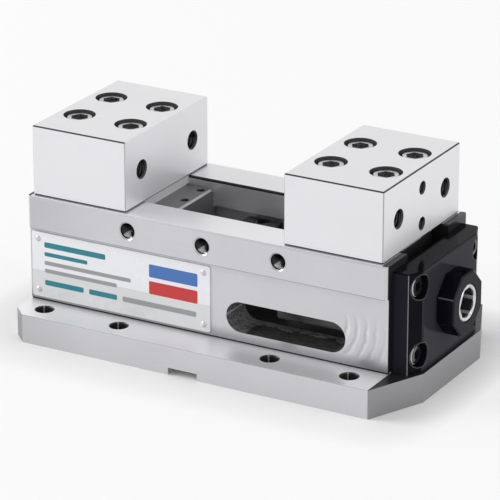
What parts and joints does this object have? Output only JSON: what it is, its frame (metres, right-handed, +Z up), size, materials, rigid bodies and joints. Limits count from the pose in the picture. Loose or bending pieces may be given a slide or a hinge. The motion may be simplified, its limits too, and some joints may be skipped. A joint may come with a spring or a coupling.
{
  "type": "self centering vise",
  "caption": "Flange-mounted self centering vise with two bolted block jaws on sliders, driven towards the middle by one spindle with a hex socket.",
  "frame": {"origin": "centre of the flange bolt pattern at the underside of the base, on the keyway's centre line", "axes": "+X along the spindle towards the drive hub, +Y across the jaws, +Z up"},
  "size_m": [0.2754, 0.153, 0.132],
  "materials": {
    "body_steel": "ground and milled steel, satin",
    "jaw_steel": "fine ground steel, satin",
    "slider_steel": "milled hardened steel, grey",
    "spindle_steel": "turned steel",
    "black_steel": "glossy black oxide",
    "black_screw": "black oxide",
    "bright_screw": "plated steel",
    "bronze": "turned bronze",
    "name_plate": "white enamel on thin metal",
    "rivet": "bright"
  },
  "bodies": {
    "vise": {"vise_body": "body_steel", "idle_end_cover": "black_steel", "idle_cover_screws": "black_screw", "centre_block": "slider_steel", "centre_block_cap": "slider_steel", "centre_cap_screws": "black_screw", "centre_block_screws": "black_screw", "thrust_washer_idle_side": "bronze", "thrust_washer_drive_side": "bronze", "end_plate": "black_steel", "end_plate_screws": "black_screw", "drive_bushing": "bronze", "name_plate": "name_plate", "name_plate_rivets": "rivet"},
    "spindle": {"spindle": "spindle_steel", "drive_hub": "black_steel", "hub_set_screws": "black_screw"},
    "left_carriage": {"left_slider": "slider_steel", "left_slider_nut": "bronze", "left_nut_lock_screw": "black_screw", "left_jaw": "jaw_steel", "left_jaw_screws": "bright_screw"},
    "right_carriage": {"right_slider": "slider_steel", "right_slider_nut": "bronze", "right_nut_lock_screw": "black_screw", "right_jaw": "jaw_steel", "right_jaw_screws": "bright_screw"}
  },
  "joints": [
    {"name": "spindle_turn", "type": "hinge", "parent": "vise", "child": "spindle", "pos_m": [0, 0, 0.0517], "axis": [-1, 0, 0], "range_deg": [-636, 2166]},
    {"name": "left_jaw_slide", "type": "slide", "parent": "vise", "child": "left_carriage", "axis": [1, 0, 0], "range_m": [-0.007, 0.024]},
    {"name": "right_jaw_slide", "type": "slide", "parent": "vise", "child": "right_carriage", "axis": [-1, 0, 0], "range_m": [-0.0071, 0.0241]}
  ],
  "couplings": [
    {"joint": "right_jaw_slide", "follows": "left_jaw_slide", "ratio": 1},
    {"joint": "spindle_turn", "follows": "left_jaw_slide", "rad_per_m": 1570.8}
  ]
}
